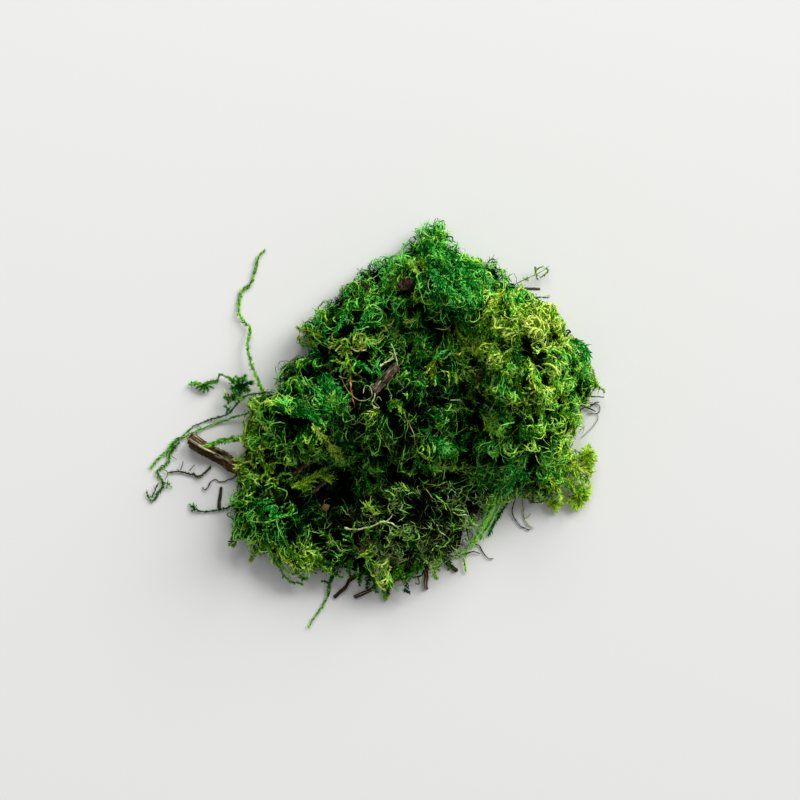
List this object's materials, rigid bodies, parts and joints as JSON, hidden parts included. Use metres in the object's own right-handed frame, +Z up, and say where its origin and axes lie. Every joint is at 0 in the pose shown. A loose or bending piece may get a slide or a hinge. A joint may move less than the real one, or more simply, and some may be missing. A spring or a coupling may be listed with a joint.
{
  "type": "moss clump",
  "caption": "Torn handful of dyed dry moss, a lumpy fluffy mat with straggling runners, feathery fronds and caught bits of twig and bark; lies flat on a surface.",
  "frame": {"origin": "middle of the flat underside of the moss mat", "axes": "+Z up from the surface that the clump lies on; +Y towards the tall far peak; +X towards the right mound, with the dead twig and runners on -X"},
  "size_m": [0.1823, 0.1602, 0.0474],
  "materials": {
    "moss_green": "fine feathery dyed dry moss, matt",
    "bright_green": "bright dyed moss leaves, matt",
    "deep_green": "deep green dyed moss, matt",
    "lime_green": "yellow-green curly moss, matt",
    "olive_green": "undyed olive moss stems, matt",
    "bark_brown": "dry rough bark",
    "dark_bark": "dark rotted bark",
    "red_stem": "thin red-brown stem",
    "pale_stem": "pale bare dry stem",
    "seed_tan": "dry tan seed husk"
  },
  "bodies": {
    "root": {"moss_mat": "moss_green", "dead_twig": "bark_brown", "bark_twig": "bark_brown", "brown_twig": "bark_brown", "grey_stick": "dark_bark", "red_stem": "red_stem", "bark_flake": "dark_bark", "bark_chip": "dark_bark", "knobbed_stem": "pale_stem", "pale_stem": "pale_stem", "looped_thread": "olive_green", "yellow_strand": "lime_green", "seed_husk": "seed_tan", "bright_frond": "bright_green", "olive_frond": "lime_green", "lime_frond": "lime_green", "long_yellow_shoot": "lime_green", "wavy_runner": "bright_green", "forked_runner_stem": "olive_green", "forked_runner_outer": "bright_green", "forked_runner_inner": "olive_green", "parallel_shoot": "bright_green", "upper_sprig": "bright_green", "shoot_over_twig": "bright_green", "thorny_sprig": "olive_green", "brown_stem": "bark_brown", "black_stick": "dark_bark", "near_left_sprig": "deep_green", "far_right_sprig": "lime_green", "far_right_stick": "dark_bark", "dark_blade": "deep_green", "curled_shoot": "deep_green", "long_olive_shoot": "lime_green", "dark_side_stem": "dark_bark", "side_thread": "olive_green", "upper_right_frond": "lime_green", "lower_right_frond": "lime_green", "near_right_frond": "lime_green", "near_trailing_shoot": "bright_green", "near_dark_shoot": "deep_green", "near_thin_stem": "dark_bark", "near_forked_stem": "olive_green", "hooked_stem": "bark_brown", "near_right_stick": "dark_bark", "near_left_runner": "bright_green", "dark_near_stick": "dark_bark", "brown_near_stick": "bark_brown", "near_hanging_frond": "deep_green", "bark_near_twig": "bark_brown"}
  },
  "joints": []
}
